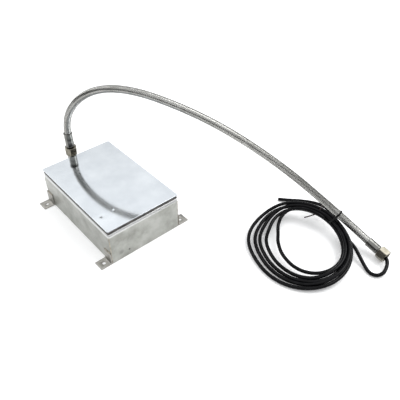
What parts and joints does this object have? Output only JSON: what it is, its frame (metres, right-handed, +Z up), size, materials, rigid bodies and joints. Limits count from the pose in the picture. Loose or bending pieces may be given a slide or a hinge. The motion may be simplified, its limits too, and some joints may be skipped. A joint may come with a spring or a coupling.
{
  "type": "immersible ultrasonic transducer box",
  "caption": "Flat stainless immersible ultrasonic transducer box with side feet, a swivel union, a braided conduit hose and a coiled black cable",
  "frame": {"origin": "centre of the four bracket holes, on the plane that the feet stand on", "axes": "+X along the long side away from the union, +Y across the box, +Z up through the radiating plate"},
  "size_m": [0.7714, 0.5237, 0.311],
  "materials": {
    "wall_steel": "satin brushed stainless sheet",
    "polished_steel": "polished stainless sheet, nearly a mirror",
    "weld_metal": "ground weld metal with heat tint",
    "seam_metal": "dark frame and weld in the recess under the plate",
    "bracket_steel": "mill finish stainless sheet",
    "pipe_steel": "turned stainless",
    "nut_steel": "bright stainless nut",
    "ferrule_steel": "smooth crimped stainless",
    "braid_steel": "stainless wire braid",
    "black_rubber": "black rubber",
    "cable_jacket": "smooth black cable jacket",
    "tie_plastic": "black nylon tie",
    "twist_wire": "brown coated twist wire",
    "bond_epoxy": "cured epoxy",
    "front_alloy": "turned aluminium",
    "piezo_ceramic": "fired ceramic with silvered faces",
    "electrode_copper": "thin copper shim",
    "bolt_steel": "black oxide steel",
    "live_wire": "red wire insulation",
    "earth_wire": "green wire insulation",
    "terminal_plastic": "moulded terminal plastic",
    "brass_screw": "brass"
  },
  "bodies": {
    "transducer_box": {"wall_shell": "wall_steel", "wall_corner_welds": "weld_metal", "base_plate": "wall_steel", "base_weld_bead": "weld_metal", "radiating_plate": "polished_steel", "plate_frame": "seam_metal", "bracket_front_left": "bracket_steel", "bracket_front_right": "bracket_steel", "bracket_back_left": "bracket_steel", "bracket_back_right": "bracket_steel", "bracket_welds": "weld_metal", "outlet_flange": "bracket_steel", "outlet_elbow": "pipe_steel", "threaded_adapter": "pipe_steel", "union_gasket": "black_rubber", "near_hose_stem": "pipe_steel", "near_ferrule": "ferrule_steel", "braided_hose": "braid_steel", "far_hose_stem": "pipe_steel", "far_ferrule": "ferrule_steel", "cable_bush": "black_rubber", "cable_in_hose": "cable_jacket", "cable_loop": "cable_jacket", "cable_coil": "cable_jacket", "cable_tail": "cable_jacket", "hose_tie": "tie_plastic", "coil_tie": "twist_wire", "bond_discs": "bond_epoxy", "front_masses": "front_alloy", "upper_piezo_rings": "piezo_ceramic", "live_electrodes": "electrode_copper", "lower_piezo_rings": "piezo_ceramic", "earth_electrodes": "electrode_copper", "back_masses": "pipe_steel", "preload_bolts": "bolt_steel", "live_bus_wire": "live_wire", "earth_bus_wire": "earth_wire", "terminal_block": "terminal_plastic", "terminal_screws": "brass_screw", "earth_lug": "brass_screw"},
    "union_nut_body": {"union_nut": "nut_steel"},
    "end_nut_body": {"end_nut": "nut_steel"}
  },
  "joints": [
    {"name": "union_nut_turn", "type": "hinge", "parent": "transducer_box", "child": "union_nut_body", "pos_m": [-0.177, 0, 0.1005], "axis": [0, 0, 1], "continuous": true},
    {"name": "end_nut_turn", "type": "hinge", "parent": "transducer_box", "child": "end_nut_body", "pos_m": [0.54376, 0.37737, 0.01915], "axis": [0.9849, -0.062, -0.1616], "continuous": true}
  ]
}
